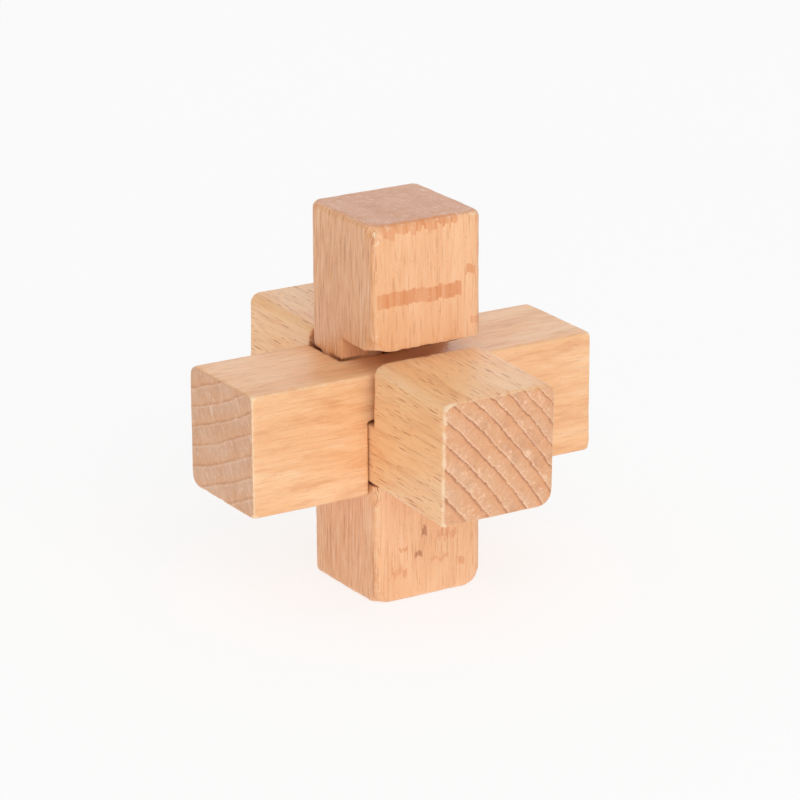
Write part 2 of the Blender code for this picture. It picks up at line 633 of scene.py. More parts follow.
    def lay_fibres(self) -> Number:
        """Lay fine fibres, stronger on the faces that look to the bark.

        Returns:
            The fibres, for the relief.
        """
        tones = self.finish.tones
        strand = self.grain_noise(*self.STRAND_SIZE, 2.0, 0.62)
        dense = self.side * (0.55 + 0.45 * self.bark) * self.finish.fibre
        self.lay(tones.line, strand.smooth(0.54, 0.7) * dense)
        self.lay(tones.worn_and_highlighted, strand.smooth(0.45, 0.3) * dense * 0.7)
        return strand

    def lay_flecks(self) -> None:
        """Lay the flecks on the face that looks down the up axis."""
        if not self.finish.flecks:
            return
        depth = self.finish.fleck_depth - HALF_WIDTH
        near_face = self.up.smooth(depth + 0.5, depth)
        bend = self.grain_noise(*self.FLECK_BEND_SIZE, 1.0) - 0.5
        for order, fleck in enumerate(self.finish.flecks):
            strips = (self.across + bend * 0.5 + self.FLECK_SPACING * order) / fleck.strip
            strip = strips.whole()
            chance = self.bench.dice(strip)
            shift = (self.bench.dice(strip + 0.5) - 0.5) * fleck.ragged
            half, soft = fleck.width / 2, self.FLECK_SOFT_SIDE
            sides = (self.across - fleck.across).size().smooth(half + soft, half - soft)
            half, soft = fleck.height / 2, self.FLECK_SOFT_END
            ends = (self.along + shift - fleck.along).size().smooth(half + soft, half - soft)
            seam = 0.55 + 0.45 * strips.fraction().smooth(0.0, 0.2)
            amount = sides * ends * near_face * seam * (0.55 + 0.6 * chance) * fleck.strength
            self.lay(fleck.tone, amount)

    def lay_grit(self) -> Number:
        """Lay small pale and dark specks.

        Returns:
            The specks, for the relief.
        """
        tones = self.finish.tones
        speckle = self.finish.speckle * (1 + self.end * self.finish.end_grain.speckle)
        grit = self.grain_noise(*self.GRIT_SIZE, 3.0, 0.7)
        self.lay(tones.worn_and_highlighted, grit.smooth(0.62, 0.76) * speckle)
        self.lay(tones.line, grit.smooth(0.37, 0.22) * speckle)
        return grit

    def lay_wear_and_highlights(self) -> None:
        """Lay the pale, patchy edges: partly real wear, partly a painted highlight where light catches
        the rounded edges.
        """
        patches = self.grain_noise(*self.PATCH_SIZE, 3.0, 0.65)
        worn_and_highlighted = (self.wear_and_highlight * (0.2 + 1.2 * patches)).smooth(0.3, 0.85)
        self.lay(self.finish.tones.worn_and_highlighted, worn_and_highlighted * self.finish.wear_and_highlight_strength)


# ---------------------------------------------------------------------------------------------
# Modelling by hand
# ---------------------------------------------------------------------------------------------

def take_up(piece: bpy.types.Object) -> None:
    """Select one object alone and make it the active one.

    Args:
        piece: The object to work on.
    """
    bpy.ops.object.select_all(action="DESELECT")
    piece.select_set(True)
    bpy.context.view_layer.objects.active = piece


@contextmanager
def edit_mode(piece: bpy.types.Object, select: str = "EDGE") -> Iterator[None]:
    """Work on an object in edit mode, starting with nothing selected.

    Args:
        piece: The object to work on.
        select: VERT, EDGE or FACE, what is selected.

    Yields:
        Nothing: the operators act on the object until the block ends.
    """
    take_up(piece)
    bpy.ops.object.mode_set(mode="EDIT")
    bpy.ops.mesh.select_mode(type=select)
    bpy.ops.mesh.select_all(action="DESELECT")
    yield
    bpy.ops.object.mode_set(mode="OBJECT")


def pick_edges(piece: bpy.types.Object, wanted: Callable[[Vector, Vector], bool]) -> None:
    """Select the edges of an object in edit mode by where their two ends are.

    Args:
        piece: The object in edit mode.
        wanted: Told both ends in metres, says whether the edge is selected.
    """
    bpy.ops.mesh.select_all(action="DESELECT")
    mesh = bmesh.from_edit_mesh(piece.data)
    for edge in mesh.edges:
        first, second = edge.verts
        if wanted(first.co, second.co):
            edge.select_set(True)
    bmesh.update_edit_mesh(piece.data)


def apply_modifier(piece: bpy.types.Object, kind: str, name: str, **settings: object) -> None:
    """Add a modifier to an object, set it and apply it.

    Args:
        piece: The object.
        kind: The modifier's type.
        name: The modifier's name.
        settings: The modifier's properties.
    """
    take_up(piece)
    modifier = piece.modifiers.new(name, kind)
    for key, value in settings.items():
        setattr(modifier, key, value)
    bpy.ops.object.modifier_apply(modifier=name)


def add_block(name: str, low: Point, high: Point) -> bpy.types.Object:
    """Add a box between two corners.

    Args:
        name: The object's name.
        low: The lowest corner, in millimetres.
        high: The highest corner, in millimetres.

    Returns:
        The box, with its size and place in its mesh.
    """
    bpy.ops.object.select_all(action="DESELECT")
    lowest, highest = Vector(low) * MM, Vector(high) * MM
    bpy.ops.mesh.primitive_cube_add(
        size=1.0, location=(lowest + highest) / 2, scale=highest - lowest,
    )
    block = bpy.context.active_object
    block.name = name
    bpy.ops.object.transform_apply(location=True, rotation=True, scale=True)
    return block


def cut_away(piece: bpy.types.Object, cutter: bpy.types.Object) -> None:
    """Cut one object out of another, and throw the cutter away.

    Args:
        piece: The object that is cut.
        cutter: The object that cuts.
    """
    apply_modifier(
        piece, "BOOLEAN", "cut", operation="DIFFERENCE", solver="EXACT", object=cutter,
    )
    bpy.data.objects.remove(cutter, do_unlink=True)


# ---------------------------------------------------------------------------------------------
# Sticks
# ---------------------------------------------------------------------------------------------

STICK_WIDTH = 25.0
HALF_WIDTH = STICK_WIDTH / 2
OVERCUT = 5.0
REACH = HALF_WIDTH + OVERCUT

ROUND_SIDES = 96
SURFACE_SWELLS = ((9.0, 0.10), (2.6, 0.05))
EDGE_WAVE_SIZE = 2.0
SMALL_DENT_DEPTHS = (0.05, 0.2)
SMALL_DENT_REACHES = (0.8, 2.4)

# How far a point on a right-angled edge stands out of its neighbours, in steps of the mesh.
CORNER_STANDS_OUT = 0.16
BEND_LIMIT = 1.6
BEND_GAIN = 1.5
FAINT_BEND = 0.05
WORN_BEND = 0.45

END_GRAIN_FROM = 0.72
END_GRAIN_SPAN = 0.22
# Paleness of every outer edge away from the listed runs: partly real wear, partly a painted edge
# highlight.
BASE_WEAR_AND_HIGHLIGHT = 0.35


@dataclass(frozen=True)
class LongEdges:
    """Radii of a stick's four long edges, named by the signs of its across and up axes."""

    low_low: float
    low_high: float
    high_low: float
    high_high: float

    def corners(self) -> tuple[tuple[int, int, float], ...]:
        """Each edge's two signs and its radius."""
        return (
            (-1, -1, self.low_low), (-1, 1, self.low_high),
            (1, -1, self.high_low), (1, 1, self.high_high),
        )


@dataclass(frozen=True)
class Dent:
    """A place where the wood is pressed in or torn, in the stick's own frame, in millimetres."""

    spot: Point
    push: Point
    reach: float


@dataclass(frozen=True)
class RubAndHighlight:
    """A stretch of an edge painted pale, in the stick's own frame: partly wear from handling, partly a
    painted highlight where light catches the edge.
    """

    start: Point
    end: Point
    reach: float = 1.6
    strength: float = 1.0


@dataclass
class Stick:
    """A square beech stick with a notch across its middle."""

    node: str
    body: str
    slot: str
    grain: Grain
    length: float
    centre: Point
    edges: LongEdges
    finish: BeechFinish
    tilt: float = 0.0
    end_rounds: tuple[float, float] = (0.35, 0.35)
    edge_waves: float = 0.2
    dents: tuple[Dent, ...] = ()
    # Runs of edge painted pale: partly wear, partly a painted highlight.
    rubs_and_highlights: tuple[RubAndHighlight, ...] = ()
    seed: int = 1
    voxel: float = 0.40
    small_dents: int = 26
    piece: Optional[bpy.types.Object] = field(default=None, init=False)

    def build(self) -> bpy.types.Object:
        """Model the stick, dress it, attach it to its body and hide the CAD part that it replaces.

        Returns:
            The finished piece.
        """
        self.piece = self.saw_blank()
        self.cut_notch(self.piece)
        self.soften(self.piece)
        self.press_dents(self.piece)
        self.mark_surface(self.piece)
        self.put_in_place(self.piece)
        self.dress(self.piece)
        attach(self.piece, self.body)
        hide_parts(self.node)
        return self.piece

    def own(self, along: float, across: float, up: float) -> Point:
        """A point of the stick's own frame, from its distances along, across and up the grain."""
        point = [0.0, 0.0, 0.0]
        point[self.grain.along] = along
        point[self.grain.across] = across
        point[self.grain.up] = up
        return tuple(point)

    def saw_blank(self) -> bpy.types.Object:
        """Saw the bar to length, and round its long edges and its ends.

        Returns:
            The bar, centred on the origin.
        """
        half_length = self.length / 2
        blank = add_block(
            self.node + "_worn",
            self.own(-half_length, -HALF_WIDTH, -HALF_WIDTH),
            self.own(half_length, HALF_WIDTH, HALF_WIDTH),
        )
        along, across, up = self.grain.along, self.grain.across, self.grain.up
        with edit_mode(blank):
            for side, top, radius in self.edges.corners():
                corner = (side * HALF_WIDTH * MM, top * HALF_WIDTH * MM)

                def on_corner(first: Vector, second: Vector) -> bool:
                    """Whether an edge is the long edge at this corner."""
                    return all(
                        abs(end[across] - corner[0]) < NEAR and abs(end[up] - corner[1]) < NEAR
                        for end in (first, second)
                    )

                pick_edges(blank, on_corner)
                bpy.ops.mesh.bevel(
                    offset_type="OFFSET", offset=radius * MM, segments=8, profile=0.5,
                    affect="EDGES",
                )
            for place, radius in zip((-half_length * MM, half_length * MM), self.end_rounds):
                pick_edges(blank, lambda first, second: (
                    abs(first[along] - place) < NEAR and abs(second[along] - place) < NEAR
                ))
                bpy.ops.mesh.bevel(
                    offset_type="OFFSET", offset=radius * MM, segments=4, profile=0.5,
                    affect="EDGES",
                )
        return blank

    def cut_notch(self, piece: bpy.types.Object) -> None:
        """Cut the stick's notch. Each kind of stick has its own."""
        raise NotImplementedError

    def soften(self, piece: bpy.types.Object) -> None:
        """Give the stick an even, fine mesh with soft edges and a slightly uneven surface.

        Args:
            piece: The cut stick.
        """
        apply_modifier(
            piece, "REMESH", "even_mesh", mode="VOXEL", voxel_size=self.voxel * MM,
            use_smooth_shade=True,
        )
        apply_modifier(piece, "SMOOTH", "soft_edges", factor=0.5, iterations=1)
        group = piece.vertex_groups.new(name="edges")
        for index, bend in enumerate(edge_bend(piece.data, passes=3).tolist()):
            if bend > FAINT_BEND:
                group.add([index], min(bend, 1.0), "REPLACE")
        swells = [(size, depth, "") for size, depth in SURFACE_SWELLS]
        swells.append((EDGE_WAVE_SIZE, self.edge_waves, group.name))
        for size, depth, where in swells:
            swell = bpy.data.textures.new(f"{self.node}_swell_{size:g}", "CLOUDS")
            swell.noise_scale = size * MM
            swell.noise_depth = 2
            apply_modifier(
                piece, "DISPLACE", "uneven", texture=swell, texture_coords="LOCAL",
                direction="NORMAL", mid_level=0.5, strength=depth * MM, vertex_group=where,
            )
        piece.vertex_groups.clear()

    def press_dents(self, piece: bpy.types.Object) -> None:
        """Press in the stick's own dents, and small ones along its worn edges.

        Args:
            piece: The softened stick.
        """
        points = piece.data.vertices
        tree = kdtree.KDTree(len(points))
        for point in points:
            tree.insert(point.co, point.index)
        tree.balance()
        chance = random.Random(self.seed)
        bends = edge_bend(piece.data)
        worn_and_highlighted = np.flatnonzero(bends > WORN_BEND).tolist()
        presses = [
            (tree.find(Vector(dent.spot) * MM)[1], Vector(dent.push) * MM, dent.reach * MM)
            for dent in self.dents
        ]
        for index in chance.sample(worn_and_highlighted, self.small_dents):
            depth = chance.uniform(*SMALL_DENT_DEPTHS) * MM
            reach = chance.uniform(*SMALL_DENT_REACHES) * MM
            presses.append((index, -points[index].normal * depth, reach))
        with edit_mode(piece, "VERT"):
            for index, push, reach in presses:
                bpy.ops.mesh.select_all(action="DESELECT")
                mesh = bmesh.from_edit_mesh(piece.data)
                mesh.verts.ensure_lookup_table()
                mesh.verts[index].select_set(True)
                bpy.ops.transform.translate(
                    value=push, use_proportional_edit=True,
                    proportional_edit_falloff="SMOOTH", proportional_size=reach,
                )

    def mark_surface(self, piece: bpy.types.Object) -> None:
        """Store how pale each edge point is painted, as wear and as painted highlight, and how it faces
        the end of the grain and the bark.

        Args:
            piece: The dented stick.
        """
        mesh = piece.data
        normals = point_normals(mesh)
        facing = np.abs(normals[:, self.grain.along])
        end = np.clip((facing - END_GRAIN_FROM) / END_GRAIN_SPAN, 0, 1)
        cross = [self.grain.across, self.grain.up]
        from_pith = point_places(mesh)[:, cross] / MM - np.array(self.finish.rings.pith)
        from_pith /= np.linalg.norm(from_pith, axis=1, keepdims=True)
        store(mesh, "end_grain", end)
        store(mesh, "bark_facing", np.abs((normals[:, cross] * from_pith).sum(axis=1)))
        # Edge paleness, partly wear and partly a painted highlight: a base amount on every outer edge,
        # more along the listed runs.
        rubbed_and_highlighted = np.full(len(mesh.vertices), BASE_WEAR_AND_HIGHLIGHT)
        for rub_and_highlight in self.rubs_and_highlights:
            apart = distance_to_line(point_places(mesh) / MM, rub_and_highlight.start, rub_and_highlight.end)
            rubbed_and_highlighted = np.maximum(rubbed_and_highlighted, rub_and_highlight.strength * np.clip(1.5 - apart / rub_and_highlight.reach, 0, 1))
        store(mesh, "wear_and_highlight", np.clip(edge_bend(mesh) * rubbed_and_highlighted, 0, 1))

    def put_in_place(self, piece: bpy.types.Object) -> None:
        """Tilt the stick, move it to its place and put both into its mesh.

        Args:
            piece: The stick, centred on the origin.
        """
        take_up(piece)
        piece.rotation_euler.x = math.radians(self.tilt)
        piece.location = Vector(self.centre) * MM
        bpy.ops.object.transform_apply(location=True, rotation=True, scale=True)

    def dress(self, piece: bpy.types.Object) -> None:
        """Give the stick its beech finish.

        Args:
            piece: The stick in its place.
        """
        place = WoodPlace(self.grain, self.centre, self.tilt)
        piece.data.materials.clear()
        piece.data.materials.append(self.finish.material(self.slot, place))


def point_normals(mesh: bpy.types.Mesh) -> np.ndarray:
    """A mesh's normals at its points, one row each."""
    normals = np.empty(len(mesh.vertices) * 3, np.float32)
    mesh.vertices.foreach_get("normal", normals)
    return normals.reshape(-1, 3)


def point_places(mesh: bpy.types.Mesh) -> np.ndarray:
    """A mesh's points, one row each, in metres."""
    places = np.empty(len(mesh.vertices) * 3, np.float32)
    mesh.vertices.foreach_get("co", places)
    return places.reshape(-1, 3).astype(float)


def distance_to_line(points: np.ndarray, start: Point, end: Point) -> np.ndarray:
    """The distance from each point to a straight line between two ends.

    Args:
        points: The points, one row each.
        start: One end of the line.
        end: The other end.

    Returns:
        One distance for each point.
    """
    first = np.array(start)
    run = np.array(end) - first
    part = np.clip((points - first) @ run / (run @ run), 0, 1)
    return np.linalg.norm(points - first - part[:, None] * run, axis=1)


def edge_bend(mesh: bpy.types.Mesh, passes: int = 1) -> np.ndarray:
    """How far each point of a mesh stands on an outer edge.

    Args:
        mesh: An evenly meshed shape.
        passes: How many times the result is spread to the points round it.

    Returns:
        0 on flats and inner corners, about 1 on a right-angled outer edge.
    """
    points = point_places(mesh)
    count = len(points)
    ends = np.empty(len(mesh.edges) * 2, np.int32)
    mesh.edges.foreach_get("vertices", ends)
    first, second = ends.reshape(-1, 2).T
    degree = np.bincount(first, minlength=count) + np.bincount(second, minlength=count)
    span = np.linalg.norm(points[first] - points[second], axis=1).mean()

    def around(values: np.ndarray) -> np.ndarray:
        """The mean of the values at each point's neighbours."""
        total = np.bincount(first, values[second], count) + np.bincount(second, values[first], count)
        return total / np.maximum(degree, 1)

    middle = np.stack([around(points[:, axis]) for axis in range(3)], axis=1)
    out = ((points - middle) * point_normals(mesh)).sum(axis=1)
    bend = np.clip(out / span / CORNER_STANDS_OUT, 0, BEND_LIMIT)
    for _ in range(passes):
        bend = 0.5 * bend + 0.5 * around(bend)
    return bend * BEND_GAIN


def store(mesh: bpy.types.Mesh, name: str, values: np.ndarray) -> None:
    """Keep a number for each point of a mesh, for its material to read.

    Args:
        mesh: The mesh.
        name: The attribute's name.
        values: One number for each point.
    """
    attribute = mesh.attributes.new(name, "FLOAT", "POINT")
    attribute.data.foreach_set("value", values.astype(np.float32))


@dataclass
class UprightStick(Stick):
    """The key: its notch leaves a round neck, with a square collar under the upper shoulder."""

    lower_shoulder: float = 22.5
    upper_shoulder: float = 52.2
    neck: tuple[float, float] = (-6.4, 6.25)
    neck_radius: float = 6.05
    collar_bottom: float = 48.1
    collar_back: float = 12.4
    seat_height: float = 24.9
    seat_radius: float = 20.3
    seat_back: float = 6.0

    def cut_notch(self, piece: bpy.types.Object) -> None:
        """Cut everything between the shoulders away but the round neck, its collar and its seat.

        Args:
            piece: The bar.
        """
        lower = self.lower_shoulder - self.centre[2]
        upper = self.upper_shoulder - self.centre[2]
        notch = add_block("notch", (-REACH, -REACH, lower), (REACH, REACH, upper))
        bpy.ops.mesh.primitive_cylinder_add(
            vertices=ROUND_SIDES, radius=self.neck_radius * MM, depth=(upper - lower + 2 * OVERCUT) * MM,
            location=Vector((*self.neck, (lower + upper) / 2)) * MM,
        )
        cut_away(notch, bpy.context.active_object)
        cut_away(notch, add_block(
            "collar", (-REACH - OVERCUT, 0.0, self.collar_bottom - self.centre[2]),
            (self.neck[0], self.collar_back, upper + OVERCUT),
        ))
        cut_away(notch, self.make_seat(lower))
        cut_away(piece, notch)

    def make_seat(self, shoulder: float) -> bpy.types.Object:
        """Make the raised seat on the lower shoulder, round on its front where the arms pass.

        Args:
            shoulder: The lower shoulder's height in the stick's own frame.

        Returns:
            The seat.
        """
        top = self.seat_height - self.centre[2]
        bpy.ops.object.select_all(action="DESELECT")
        bpy.ops.mesh.primitive_cylinder_add(
            vertices=ROUND_SIDES, radius=self.seat_radius * MM, depth=(top - shoulder + OVERCUT) * MM,
            location=Vector((*self.neck, (top + shoulder - OVERCUT) / 2)) * MM,
        )
        seat = bpy.context.active_object
        reach = self.seat_radius + OVERCUT
        cut_away(seat, add_block(
            "behind_seat", (self.neck[0] - reach, self.seat_back, shoulder - 2 * OVERCUT),
            (self.neck[0] + reach, self.neck[1] + reach, top + OVERCUT),
        ))
        return seat


@dataclass
class CrosswiseStick(Stick):
    """The stick across the front, notched from behind and below."""

    left_shoulder: float = -12.8
    right_shoulder: float = 14.3
    neck_back: float = -0.3
    neck_underside: float = 38.3

    def cut_notch(self, piece: bpy.types.Object) -> None:
        """Cut the back and the underside away between the shoulders.

        Args:
            piece: The bar.
        """
        left = self.left_shoulder - self.centre[0]
        right = self.right_shoulder - self.centre[0]
        back = self.neck_back - self.centre[1]
        underside = self.neck_underside - self.centre[2]
        cut_away(piece, add_block("notch_behind", (left, back, -REACH), (right, REACH, REACH)))
        cut_away(piece, add_block("notch_below", (left, -REACH, -REACH), (right, REACH, underside)))


@dataclass
class LengthwiseStick(Stick):
    """The stick from front to back, with a channel for each of the other two necks."""

    front_shoulder: float = -11.9
    rear_shoulder: float = 13.6
    channel_floor: float = -0.5
    left_block_back: float = -0.4
    right_block_front: float = 0.9

    def cut_notch(self, piece: bpy.types.Object) -> None:
        """Cut one channel across the top and one down the left side.

        Args:
            piece: The bar.
        """
        cut_away(piece, add_block(
            "channel_across", (-REACH, self.front_shoulder, self.channel_floor),
            (REACH, self.right_block_front, REACH),
        ))
        cut_away(piece, add_block(
            "channel_down", (-REACH, self.left_block_back, -REACH), (0.0, self.rear_shoulder, REACH),
        ))


# ---------------------------------------------------------------------------------------------
# Studio
# ---------------------------------------------------------------------------------------------

@dataclass(frozen=True)
class Lamp:
    """A square soft light that looks at the puzzle."""

    name: str
    place: Point
    size: float
    power: float
    colour: tuple[float, float, float] = (1.0, 1.0, 1.0)

    def hang(self, target: Vector) -> None:
        """Hang the light and turn it to the puzzle.

        Args:
            target: The point that it looks at, in metres.
        """
        light = bpy.data.lights.new(self.name, "AREA")
        light.shape = "SQUARE"
        light.size = self.size
        light.energy = self.power
        light.color = self.colour
        lamp = bpy.data.objects.new(self.name, light)
        lamp.location = self.place
        lamp.rotation_euler = (target - lamp.location).to_track_quat("-Z", "Y").to_euler()
        bpy.context.scene.collection.objects.link(lamp)


@dataclass
class Studio:
    """A pale floor, soft light and the camera."""

    azimuth: float = -30.98
    elevation: float = 18.375
    roll: float = -0.332
    distance: float = 0.7905
    lens: float = 179.2
    aim: Point = (0.0, 0.0, 40.79)
    aim_right: float = 0.76
    aim_down: float = 3.2
    sensor: float = 36.0
    ambient: float = 0.585
    floor_size: float = 8.0
    floor_dark: Colour = (0.27, 0.27, 0.27, 1.0)
    floor_light: Colour = (0.29, 0.29, 0.29, 1.0)
    floor_glow: float = 0.745
    lamps: tuple[Lamp, ...] = (
        Lamp("front_light", (-0.3, -1.1, 0.75), size=1.1, power=5.9),
        Lamp("top_light", (-0.2, 0.1, 1.4), size=1.4, power=0.8),
        Lamp("back_light", (0.64, 1.06, 0.41), size=0.8, power=1.6, colour=(0.93, 0.94, 1.0)),
    )

    def build(self) -> None:
        """Make the floor, the lights, the world and the camera."""
        self.lay_floor()
        self.hang_lights()
        self.set_world()
        self.stand_camera()
        bpy.context.scene.view_settings.view_transform = "Standard"

    def lay_floor(self) -> bpy.types.Object:
        """Lay a matt grey floor under the puzzle, made pale by its own glow.

        Returns:
            The floor.
        """
        bpy.ops.object.select_all(action="DESELECT")
        bpy.ops.mesh.primitive_plane_add(size=self.floor_size)
        floor = bpy.context.active_object
        floor.name = "floor"
        bench = ShaderBench("pale_floor")
        place = bench.node("ShaderNodeTexCoord").outputs["Object"]
        spread = bench.node("ShaderNodeTexNoise", inputs={"Vector": place, "Scale": 3.0})
        tone = bench.blend(self.floor_dark, self.floor_light, Number(bench, spread.outputs[0]))
        shader = bench.node("ShaderNodeBsdfPrincipled", inputs={
            "Base Color": tone, "Roughness": 0.9, "Specular IOR Level": 0.0,
            "Emission Color": WHITE, "Emission Strength": self.floor_glow,
        })
        bench.node("ShaderNodeOutputMaterial", inputs={"Surface": shader.outputs["BSDF"]})
        floor.data.materials.append(bench.material)
        return floor

    def hang_lights(self) -> None:
        """Hang the lights round the puzzle."""
        for lamp in self.lamps:
            lamp.hang(Vector((0.0, 0.0, self.aim[2] * MM)))

    def set_world(self) -> None:
        """Light the scene evenly from all round."""
        world = bpy.data.worlds.new("studio")
        world.use_nodes = True
        background = world.node_tree.nodes["Background"]
        background.inputs["Color"].default_value = WHITE
        background.inputs["Strength"].default_value = self.ambient
        bpy.context.scene.world = world

    def stand_camera(self) -> None:
        """Stand the camera at the front left, looking slightly down on the puzzle."""
        turn, rise = math.radians(self.azimuth), math.radians(self.elevation)
        back = Vector((
            math.sin(turn) * math.cos(rise), -math.cos(turn) * math.cos(rise), math.sin(rise),
        ))
        right = Vector((math.cos(turn), math.sin(turn), 0.0))
        up = back.cross(right)
        centre = Vector(self.aim) * MM
        lens = bpy.data.cameras.new("camera")
        lens.lens = self.lens
        lens.sensor_width = self.sensor
        lens.clip_start = 0.01
        lens.clip_end = 20.0
        camera = bpy.data.objects.new("camera", lens)
        bpy.context.scene.collection.objects.link(camera)
        camera.location = centre + back * self.distance
        target = centre + right * (self.aim_right * MM) - up * (self.aim_down * MM)
        look = (target - camera.location).to_track_quat("-Z", "Y")
        level = look.to_matrix().to_4x4() @ Matrix.Rotation(math.radians(self.roll), 4, "Z")
        camera.rotation_euler = level.to_euler()
        bpy.context.scene.camera = camera


# ---------------------------------------------------------------------------------------------
# The puzzle
# ---------------------------------------------------------------------------------------------

UPRIGHT_BEECH = BeechFinish(
    tones=BeechTones(
        pale=shade(255, 198, 148), deep=shade(249, 187, 134), late=shade(236, 166, 112),
        line=shade(198, 124, 72), ray=shade(178, 86, 30), worn_and_highlighted=shade(254, 219, 184),
        end_pale=shade(250, 214, 190), end_tint=(0.78, 0.71, 0.80, 1.0),
        bark_tint=(0.885, 0.82, 0.74, 1.0),
    ),
    rings=Rings(pith=(-75.0, -12.8), middle=75.0, rate=0.33, phase=0.2, line_strength=0.16,
                face_strength=0.06),
    rays=(
        Rays(sideways=0.4, lengthways=22.0, outwards=6.0, size=0.2, strength=0.85),
        Rays(sideways=0.33, lengthways=12.0, outwards=6.0, size=0.19, strength=0.7),
    ),
    flecks=(
        Fleck(across=-2.0, along=23.9, width=19.0, height=2.9, strength=0.95, strip=0.75,
              ragged=0.6),
        Fleck(across=-6.0, along=39.6, width=8.4, height=6.4, strength=0.8, strip=0.6, ragged=2.0),
        Fleck(across=0.6, along=39.6, width=5.0, height=5.2, strength=0.9, strip=0.5, ragged=1.8),
        Fleck(across=5.0, along=39.6, width=3.6, height=5.6, strength=0.9, strip=0.45, ragged=1.6),
        Fleck(across=9.5, along=27.4, width=2.4, height=1.8, strength=0.7, strip=0.7, ragged=0.8),
        Fleck(across=10.6, along=16.8, width=2.0, height=1.5, strength=0.7, strip=0.7, ragged=0.6),
        Fleck(across=-1.2, along=-25.0, width=1.0, height=2.0, strength=1.1, strip=0.3,
              tone=shade(188, 118, 76)),
        Fleck(across=-2.6, along=-29.7, width=1.8, height=1.1, strength=1.0, strip=0.4,
              tone=shade(196, 126, 82)),
        Fleck(across=-6.1, along=-28.0, width=2.0, height=0.8, strength=0.8, strip=0.4),
        Fleck(across=4.0, along=-26.6, width=4.6, height=1.6, strength=0.7, strip=0.35, ragged=1.6),
        Fleck(across=2.4, along=-31.6, width=4.2, height=0.8, strength=0.6, strip=0.35, ragged=1.0),
        Fleck(across=-7.0, along=-32.5, width=3.6, height=1.6, strength=0.6, strip=0.4, ragged=1.4),
        Fleck(across=7.4, along=-33.0, width=1.6, height=1.6, strength=0.6, strip=0.3, ragged=1.0),
    ),
    end_grain=EndGrain(length=3.0, width=0.5, sponge=0.9, comb=0.1, crumb=0.5, speckle=0.6),
    streak=0.35, streak_width=0.7, streak_length=14.0, fibre=0.75, speckle=1.0,
)

CROSSWISE_BEECH = BeechFinish(
    tones=BeechTones(
        pale=shade(255, 202, 150), deep=shade(250, 190, 134), late=shade(236, 168, 112),
        line=shade(208, 142, 92), ray=shade(196, 128, 82), worn_and_highlighted=shade(255, 222, 182),
        end_pale=shade(240, 198, 168), end_tint=(0.75, 0.71, 0.79, 1.0),
    ),
    rings=Rings(pith=(61.0, 157.0), middle=168.7, rate=0.255, phase=-0.05, wander=0.4,
                jitter=0.8, line_strength=0.7, face_strength=0.10, late_strength=0.5),
    rays=(
        Rays(sideways=0.8, lengthways=8.0, outwards=8.0, size=0.13, strength=0.4),
    ),
    end_grain=EndGrain(length=1.2, width=1.6, sponge=0.45, comb=0.9, crumb=0.8, speckle=0.3),
    streak=0.75, streak_width=0.8, streak_length=8.0, fibre=0.36, speckle=0.9,
)

LENGTHWISE_BEECH = BeechFinish(
    tones=BeechTones(
        pale=shade(255, 206, 152), deep=shade(255, 197, 138), late=shade(230, 158, 104),
        line=shade(192, 126, 84), ray=shade(176, 86, 28), worn_and_highlighted=shade(254, 220, 184),
        end_pale=shade(252, 208, 172), end_tint=(0.785, 0.695, 0.745, 1.0),
    ),
    rings=Rings(pith=(-87.0, -73.8), middle=113.5, rate=0.315, crowding=0.0031, phase=0.46,
                wander=0.3, jitter=0.8, line_strength=0.9, face_strength=0.10, late_strength=0.75),
    rays=(
        Rays(sideways=0.55, lengthways=11.0, outwards=7.0, size=0.16, strength=0.8),
        Rays(sideways=0.45, lengthways=6.5, outwards=6.0, size=0.15, strength=0.7),
    ),
    end_grain=EndGrain(length=0.6, width=0.75, sponge=0.7, comb=0.15, crumb=0.8, speckle=0.3),
    streak=0.4, streak_width=0.8, streak_length=12.0, fibre=0.42, speckle=0.95,
)


def joint_place(name: str) -> Vector:
    """A joint's place in millimetres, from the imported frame.

    Args:
        name: The joint's name.

    Returns:
        A point on its axis.
    """
    found = next(joint for joint in frame["record"]["behaviour"]["joints"] if joint["name"] == name)
    return Vector(found["pos_m"]) / MM


def node_span(node: str) -> tuple[Point, Point]:
    """A CAD node's centre and size.

    Args:
        node: The node's name.

    Returns:
        Its centre and its size along each axis, in millimetres.
    """
    low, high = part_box(node)
    return tuple((low + high) / 2 / MM), tuple((high - low) / MM)


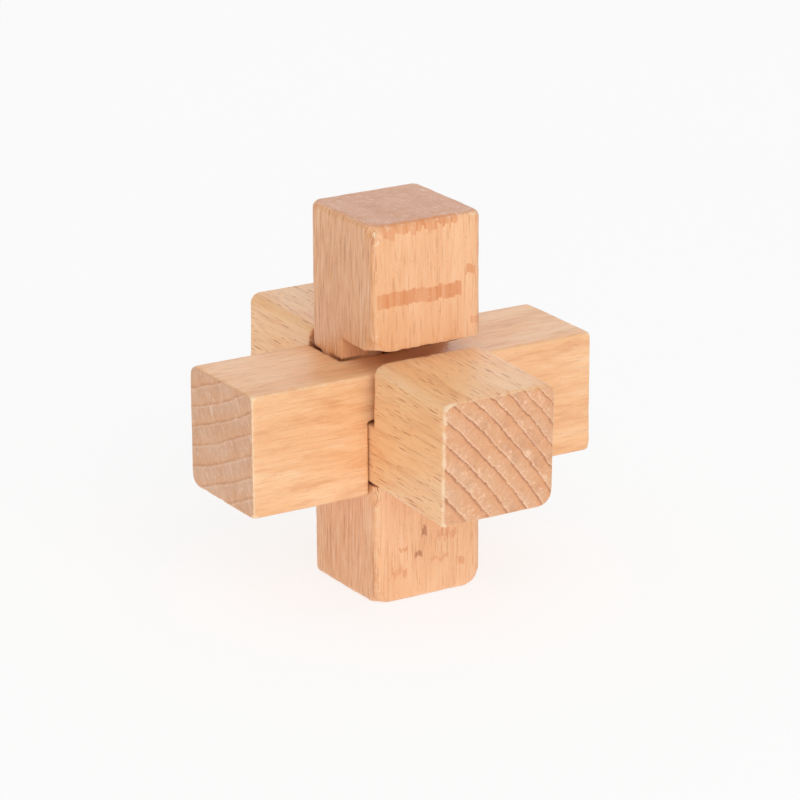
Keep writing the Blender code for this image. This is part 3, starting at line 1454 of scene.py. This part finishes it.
def make_sticks() -> list[Stick]:
    """Describe the three sticks, at the sizes and places that the frame gives.

    Returns:
        The sticks, in the order they are built.
    """
    upright_centre, upright_size = node_span("upright_key_stick")
    crosswise_centre, crosswise_size = node_span("crosswise_stick")
    neck = joint_place("key_turn")
    lengthwise_centre = joint_place("lengthwise_rock")
    return [
        UprightStick(
            node="upright_key_stick", body="upright", slot="beech_upright",
            grain=Grain.ALONG_Z, length=upright_size[2], centre=upright_centre,
            end_rounds=(1.2, 1.2), edge_waves=0.4,
            edges=LongEdges(low_low=1.3, low_high=2.4, high_low=2.3, high_high=2.4),
            finish=UPRIGHT_BEECH, neck=(neck.x, neck.y), seed=11,
            dents=(
                Dent(spot=(-12.5, -12.5, 38.9), push=(0.6, 0.6, -0.5), reach=3.2),
                Dent(spot=(-12.5, -12.5, 13.3), push=(0.5, 0.5, 0.6), reach=3.6),
                Dent(spot=(-12.5, -12.5, -16.4), push=(0.5, 0.4, -0.3), reach=2.4),
                Dent(spot=(-12.5, -12.5, -38.9), push=(0.4, 0.4, 0.6), reach=3.0),
                Dent(spot=(12.5, -12.5, -38.9), push=(-0.5, 0.3, 0.6), reach=3.2),
            ),
            # Edge runs painted pale: partly rubbed wear, partly a painted highlight.
            rubs_and_highlights=(
                RubAndHighlight(start=(-12.5, -12.5, 38.9), end=(-10.8, -12.5, 36.6), reach=2.2, strength=1.3),
                RubAndHighlight(start=(-12.5, -12.5, 36), end=(-12.5, -12.5, 14), strength=0.75),
                RubAndHighlight(start=(-12.5, -12.5, -17), end=(-12.5, -12.5, -38), strength=1.0),
                RubAndHighlight(start=(-12.5, -12.5, 13.3), end=(12.5, -12.5, 13.3), strength=0.8),
                RubAndHighlight(start=(-12.5, -12.5, 13.3), end=(-12.5, 0, 13.3), strength=0.7),
                RubAndHighlight(start=(-12.5, -12.5, 38.9), end=(12.5, -12.5, 38.9), reach=1.5, strength=0.95),
            ),
        ),
        CrosswiseStick(
            node="crosswise_stick", body="crosswise", slot="beech_crosswise",
            grain=Grain.ALONG_X, length=crosswise_size[0], centre=crosswise_centre,
            edges=LongEdges(low_low=0.7, low_high=0.5, high_low=2.6, high_high=2.4),
            finish=CROSSWISE_BEECH, edge_waves=0.1, small_dents=12, seed=12,
            # Edge runs painted pale: partly rubbed wear, partly a painted highlight.
            rubs_and_highlights=(
                RubAndHighlight(start=(-38.9, -12.5, -12.5), end=(-38.9, -12.5, 12.5), strength=1.3),
                RubAndHighlight(start=(-38.9, -12.5, 12.5), end=(-13, -12.5, 12.5), reach=0.9, strength=0.9),
                RubAndHighlight(start=(38.9, -12.5, 12.5), end=(13, -12.5, 12.5), reach=0.9, strength=0.8),
                RubAndHighlight(start=(38.9, -12.5, -8), end=(38.9, -12.5, 12.5), reach=1.2, strength=0.8),
            ),
        ),
        LengthwiseStick(
            node="lengthwise_stick", body="lengthwise", slot="beech_lengthwise",
            grain=Grain.ALONG_Y, length=75.4, centre=tuple(lengthwise_centre), tilt=2.0,
            edges=LongEdges(low_low=0.6, low_high=2.0, high_low=3.2, high_high=2.0),
            finish=LENGTHWISE_BEECH, end_rounds=(0.45, 0.45), seed=13,
            # Edge runs painted pale: partly rubbed wear, partly a painted highlight.
            rubs_and_highlights=(
                RubAndHighlight(start=(-12.5, -37.7, -12), end=(-12.5, -37.7, 9), reach=1.6, strength=1.25),
                RubAndHighlight(start=(-12.2, -37.7, 12.2), end=(-11, -37.7, 12.2), reach=2.0, strength=1.1),
                RubAndHighlight(start=(-9, -37.7, 12.5), end=(6, -37.7, 12.5), reach=1.2, strength=0.8),
                RubAndHighlight(start=(-12.5, -37.7, 12.5), end=(-12.5, -16, 12.5), reach=1.6, strength=1.2),
                RubAndHighlight(start=(12.5, -37.7, -8), end=(12.5, -37.7, 10), reach=1.2, strength=0.7),
                RubAndHighlight(start=(-12.5, -37.7, -12.5), end=(-12.5, -15, -12.5), strength=1.0),
            ),
        ),
    ]


def main() -> None:
    """Build the studio and the sticks, in order, and report each piece."""
    logging.basicConfig(level=logging.INFO, format="%(name)s: %(message)s")
    Studio().build()
    for stick in make_sticks():
        piece = stick.build()
        piece.data.calc_loop_triangles()
        log.info("%s: %d triangles, on %s", piece.name, len(piece.data.loop_triangles), stick.body)


if __name__ == "__main__":
    main()
